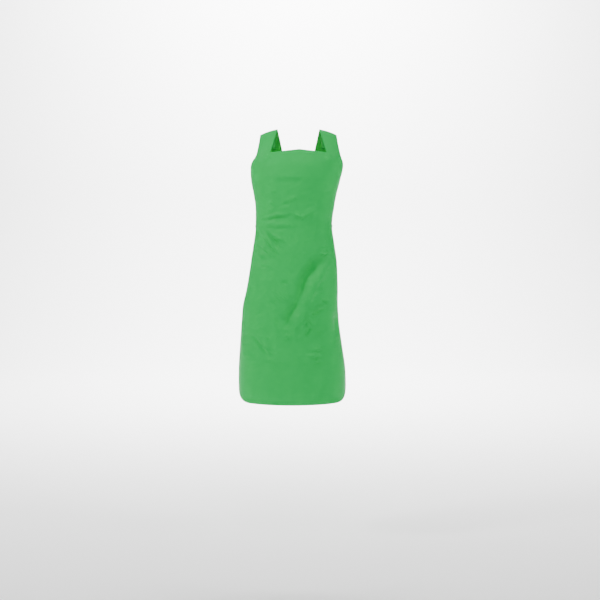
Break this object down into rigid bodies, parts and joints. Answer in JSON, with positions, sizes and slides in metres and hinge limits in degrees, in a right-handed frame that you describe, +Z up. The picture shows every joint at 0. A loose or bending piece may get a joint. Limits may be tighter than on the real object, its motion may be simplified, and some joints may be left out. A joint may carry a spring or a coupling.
{
  "type": "lead apron",
  "caption": "Front-protection dental lead apron: shielding sheets in a green coated cover, worn over the shoulders and closed by crossed back straps with hook and loop.",
  "frame": {"origin": "midway between the wearer's shoulders, at the height where the two straps rest on them", "axes": "+Z up; the wearer faces -Y; the wearer's left is +X"},
  "size_m": [0.4233, 0.2479, 1.0553],
  "materials": {
    "cover_cloth": "soft satin coated cloth",
    "lining_cloth": "smooth matt nylon",
    "shield_core": "matt filled vinyl",
    "pad_cloth": "quilted knit over foam",
    "tape": "ribbed tape",
    "label_cloth": "smooth woven satin, blank",
    "loop_pile": "brushed loop pile",
    "hook_tape": "moulded hooks on woven tape",
    "webbing": "ribbed woven webbing",
    "ring_steel": "bright nickel plate",
    "grip_plastic": "fine grain moulded"
  },
  "bodies": {
    "apron": {"front_cover": "cover_cloth", "inner_lining": "lining_cloth", "shield_sheet_inner": "shield_core", "shield_sheet_outer": "shield_core", "shoulder_pad_left": "pad_cloth", "shoulder_pad_right": "pad_cloth", "hanging_loop": "tape", "care_label": "label_cloth", "loop_patch_left": "loop_pile", "loop_patch_right": "loop_pile", "ring_loop_left": "webbing", "ring_loop_right": "webbing"},
    "ring_left": {"strap_ring_left": "ring_steel"},
    "strap_left": {"back_strap_left": "webbing"},
    "tab_left": {"strap_tab_left": "webbing", "hook_patch_left": "hook_tape", "tab_grip_left": "grip_plastic"},
    "ring_right": {"strap_ring_right": "ring_steel"},
    "strap_right": {"back_strap_right": "webbing"},
    "tab_right": {"strap_tab_right": "webbing", "hook_patch_right": "hook_tape", "tab_grip_right": "grip_plastic"}
  },
  "joints": [
    {"name": "ring_left_swing", "type": "hinge", "parent": "apron", "child": "ring_left", "pos_m": [0.06623, 0.09464, -0.1324], "axis": [0.6579, -0.1319, -0.7415], "range_deg": [0, 60]},
    {"name": "strap_left_lift", "type": "hinge", "parent": "ring_left", "child": "strap_left", "pos_m": [0.05483, 0.098, -0.14311], "axis": [0.6579, -0.1319, -0.7415], "range_deg": [0, 90]},
    {"name": "tab_left_peel", "type": "hinge", "parent": "strap_left", "child": "tab_left", "pos_m": [-0.12127, 0.07598, -0.32332], "axis": [0.5781, 0.3654, -0.7296], "range_deg": [0, 110]},
    {"name": "ring_right_swing", "type": "hinge", "parent": "apron", "child": "ring_right", "pos_m": [-0.07513, 0.09463, -0.13229], "axis": [0.7739, 0.1187, 0.622], "range_deg": [0, 60]},
    {"name": "strap_right_lift", "type": "hinge", "parent": "ring_right", "child": "strap_right", "pos_m": [-0.06577, 0.09851, -0.14467], "axis": [0.7739, 0.1187, 0.622], "range_deg": [0, 90]},
    {"name": "tab_right_peel", "type": "hinge", "parent": "strap_right", "child": "tab_right", "pos_m": [0.08922, 0.07596, -0.32394], "axis": [0.6457, -0.3459, 0.6808], "range_deg": [0, 110]}
  ],
  "couplings": [
    {"joint": "ring_right_swing", "follows": "ring_left_swing", "ratio": 0.7},
    {"joint": "strap_right_lift", "follows": "strap_left_lift", "ratio": 0.7}
  ]
}
